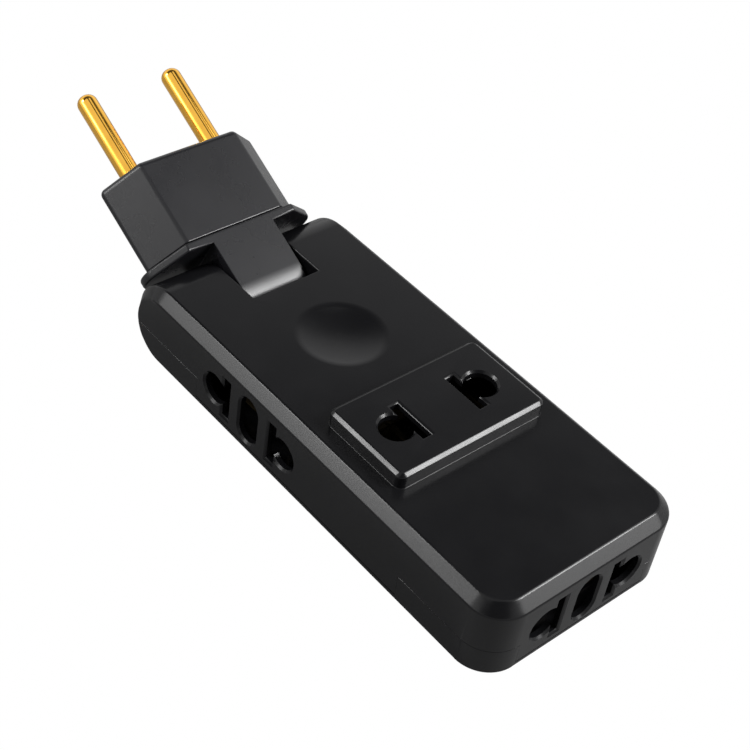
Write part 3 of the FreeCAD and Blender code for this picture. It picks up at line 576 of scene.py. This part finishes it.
CAMERA_PLACE = Vector((131.8, -146.4, 196.1)) * MM
CAMERA_AIM = Vector((-9.81, 4.58, 8.79)) * MM
CAMERA_ROLL = math.radians(9.8)
CAMERA_LENS = 75.09
CAMERA_NEAR = 10.0 * MM
SENSOR_WIDTH = 36.0

camera_data = bpy.data.cameras.new("camera")
camera_data.lens = CAMERA_LENS
camera_data.sensor_width = SENSOR_WIDTH
camera_data.sensor_fit = "HORIZONTAL"
camera_data.clip_start = CAMERA_NEAR
camera = bpy.data.objects.new("camera", camera_data)
scene.collection.objects.link(camera)
looking = (CAMERA_AIM - CAMERA_PLACE).to_track_quat("-Z", "Y")
camera.matrix_world = (
    Matrix.Translation(CAMERA_PLACE) @ looking.to_matrix().to_4x4() @ Matrix.Rotation(CAMERA_ROLL, 4, "Z"))
scene.camera = camera

FLOOR_SIZE = 6.0
FLOOR_PAPER = (0.26, 0.26, 0.26, 1)
FLOOR_ROUGHNESS = 0.9
WHITE_TO_CAMERA = 0.999
WHITE_TO_GLOSS = 0.06

floor_mesh = bpy.data.meshes.new("floor")
work = bmesh.new()
bmesh.ops.create_grid(work, x_segments=1, y_segments=1, size=FLOOR_SIZE / 2)
work.to_mesh(floor_mesh)
work.free()
floor = bpy.data.objects.new("floor", floor_mesh)
scene.collection.objects.link(floor)

floor_paint = bpy.data.materials.new("floor_paint")
floor_paint.use_nodes = True
nodes, links = floor_paint.node_tree.nodes, floor_paint.node_tree.links
paper = nodes["Principled BSDF"]
paper.inputs["Base Color"].default_value = FLOOR_PAPER
paper.inputs["Roughness"].default_value = FLOOR_ROUGHNESS
paper.inputs["Specular IOR Level"].default_value = 0.0
glow = nodes.new("ShaderNodeEmission")
glow.inputs["Color"].default_value = (1, 1, 1, 1)
glow.inputs["Strength"].default_value = 1.0


def ray_share(nodes, camera_share, gloss_share):
    """How much of the background's white each kind of ray meets."""
    rays = nodes.new("ShaderNodeLightPath")
    total = None
    for kind, amount in (
            ("Is Camera Ray", camera_share),
            ("Is Glossy Ray", gloss_share),
            ("Is Transmission Ray", camera_share)):
        part = nodes.new("ShaderNodeMath")
        part.operation = "MULTIPLY_ADD"
        nodes.id_data.links.new(rays.outputs[kind], part.inputs[0])
        part.inputs[1].default_value = amount
        part.inputs[2].default_value = 0.0
        if total is not None:
            nodes.id_data.links.new(total, part.inputs[2])
        total = part.outputs["Value"]
    return total


blend_in = nodes.new("ShaderNodeMixShader")
links.new(ray_share(nodes, WHITE_TO_CAMERA, WHITE_TO_GLOSS), blend_in.inputs["Fac"])
links.new(paper.outputs["BSDF"], blend_in.inputs[1])
links.new(glow.outputs["Emission"], blend_in.inputs[2])
links.new(blend_in.outputs["Shader"], nodes["Material Output"].inputs["Surface"])
floor_mesh.materials.append(floor_paint)

AMBIENT = 0.35
WALL_LIGHT = 1.3
CEILING_LIGHT = 0.12
WALLS_END = 0.52
CEILING_START = 0.76
BACK_OF_ROOM = Vector((0.57, -0.5, 0.65)).normalized()
SHADE_EDGE = 0.72
SHADE_FULL = 0.92
SHADE_LEVEL = 0.08

world = bpy.data.worlds.new("studio")
scene.world = world
world.use_nodes = True
nodes, links = world.node_tree.nodes, world.node_tree.links
surround = nodes["Background"]
surround.inputs["Color"].default_value = (1, 1, 1, 1)
surround.inputs["Strength"].default_value = AMBIENT
direction = nodes.new("ShaderNodeTexCoord").outputs["Generated"]
heading = nodes.new("ShaderNodeSeparateXYZ")
links.new(direction, heading.inputs["Vector"])
walls = nodes.new("ShaderNodeMapRange")
walls.interpolation_type = "SMOOTHSTEP"
walls.inputs["From Min"].default_value = WALLS_END
walls.inputs["From Max"].default_value = CEILING_START
walls.inputs["To Min"].default_value = WALL_LIGHT
walls.inputs["To Max"].default_value = CEILING_LIGHT
links.new(heading.outputs["Z"], walls.inputs["Value"])
facing = nodes.new("ShaderNodeVectorMath")
facing.operation = "DOT_PRODUCT"
facing.inputs[1].default_value = BACK_OF_ROOM
links.new(direction, facing.inputs[0])
shade = nodes.new("ShaderNodeMapRange")
shade.interpolation_type = "SMOOTHSTEP"
shade.inputs["From Min"].default_value = SHADE_EDGE
shade.inputs["From Max"].default_value = SHADE_FULL
shade.inputs["To Min"].default_value = 1.0
shade.inputs["To Max"].default_value = SHADE_LEVEL
links.new(facing.outputs["Value"], shade.inputs["Value"])
level = nodes.new("ShaderNodeMath")
level.operation = "MULTIPLY"
links.new(walls.outputs["Result"], level.inputs[0])
links.new(shade.outputs["Result"], level.inputs[1])
room = nodes.new("ShaderNodeBackground")
links.new(level.outputs["Value"], room.inputs["Strength"])
white = nodes.new("ShaderNodeBackground")
white.inputs["Strength"].default_value = 1.0
to_gloss = nodes.new("ShaderNodeMixShader")
links.new(ray_share(nodes, 0.0, 1.0), to_gloss.inputs["Fac"])
links.new(surround.outputs["Background"], to_gloss.inputs[1])
links.new(room.outputs["Background"], to_gloss.inputs[2])
to_camera = nodes.new("ShaderNodeMixShader")
links.new(ray_share(nodes, 1.0, 0.0), to_camera.inputs["Fac"])
links.new(to_gloss.outputs["Shader"], to_camera.inputs[1])
links.new(white.outputs["Background"], to_camera.inputs[2])
links.new(to_camera.outputs["Shader"], nodes["World Output"].inputs["Surface"])

LAMP_DISTANCE = 1.0


def softbox(name, direction, width, height, radiance):
    """An area lamp that faces the case from that direction. Width and height are degrees that it fills."""
    across = 2 * LAMP_DISTANCE * math.tan(math.radians(width) / 2)
    upward = 2 * LAMP_DISTANCE * math.tan(math.radians(height) / 2)
    lamp_data = bpy.data.lights.new(name, "AREA")
    lamp_data.shape = "RECTANGLE"
    lamp_data.size = across
    lamp_data.size_y = upward
    lamp_data.energy = radiance * across * upward * math.pi
    lamp = bpy.data.objects.new(name, lamp_data)
    scene.collection.objects.link(lamp)
    lamp.visible_camera = False
    place = Vector(direction).normalized() * LAMP_DISTANCE
    facing = (-place).to_track_quat("-Z", "Y")
    lamp.matrix_world = Matrix.Translation(place) @ facing.to_matrix().to_4x4()


softbox("left_softbox", (-0.51, -0.71, 0.48), 30, 12, 6.0)
softbox("left_strip", (-0.484, -0.60, 0.64), 16, 7, 36.0)
softbox("right_softbox", (0.74, 0.59, 0.33), 24, 12, 5.5)
softbox("right_strip", (0.62, 0.56, 0.55), 18, 8, 42.0)
softbox("side_panel", (-0.124, -0.86, 0.48), 34, 28, 0.88)
softbox("overhead_panel", (0.0, -0.40, 0.92), 40, 44, 0.9)
softbox("zenith_strip", (0.05, 0.26, 0.966), 40, 14, 0.9)
softbox("rear_panel", (0.15, 0.585, 0.80), 28, 15, 2.0)
softbox("tongue_panel", (0.33, 0.52, 0.79), 16, 12, 6.0)
softbox("nose_panel", (0.52, 0.51, 0.685), 20, 15, 25.0)

# A black card on the floor behind the plug, which only reflections meet: painted shade, its black standing
# in for the shaded floor that the collar's underside reflects
CARD_MIDDLE = Vector((-50.0, 31.5, 0.5)) * MM
CARD_SIZE = Vector((60.0, 17.0, 1.0)) * MM
REFLECTED_SHADE_TONE = (0.01, 0.01, 0.01, 1)

card_mesh = bpy.data.meshes.new("reflected_shade_card")
work = bmesh.new()
bmesh.ops.create_grid(work, x_segments=1, y_segments=1, size=0.5)
bmesh.ops.scale(work, verts=work.verts, vec=CARD_SIZE)
bmesh.ops.translate(work, verts=work.verts, vec=CARD_MIDDLE)
work.to_mesh(card_mesh)
work.free()
card = bpy.data.objects.new("reflected_shade_card", card_mesh)
scene.collection.objects.link(card)
card.visible_camera = False
card.visible_diffuse = False
card.visible_shadow = False
reflected_shade_black = bpy.data.materials.new("reflected_shade_black")
reflected_shade_black.use_nodes = True
shade_shader = reflected_shade_black.node_tree.nodes["Principled BSDF"]
# Painted shade: near-black, seen only in the reflections on the plug's underside
shade_shader.inputs["Base Color"].default_value = REFLECTED_SHADE_TONE
shade_shader.inputs["Specular IOR Level"].default_value = 0.0
card_mesh.materials.append(reflected_shade_black)

scene.view_settings.view_transform = "Standard"
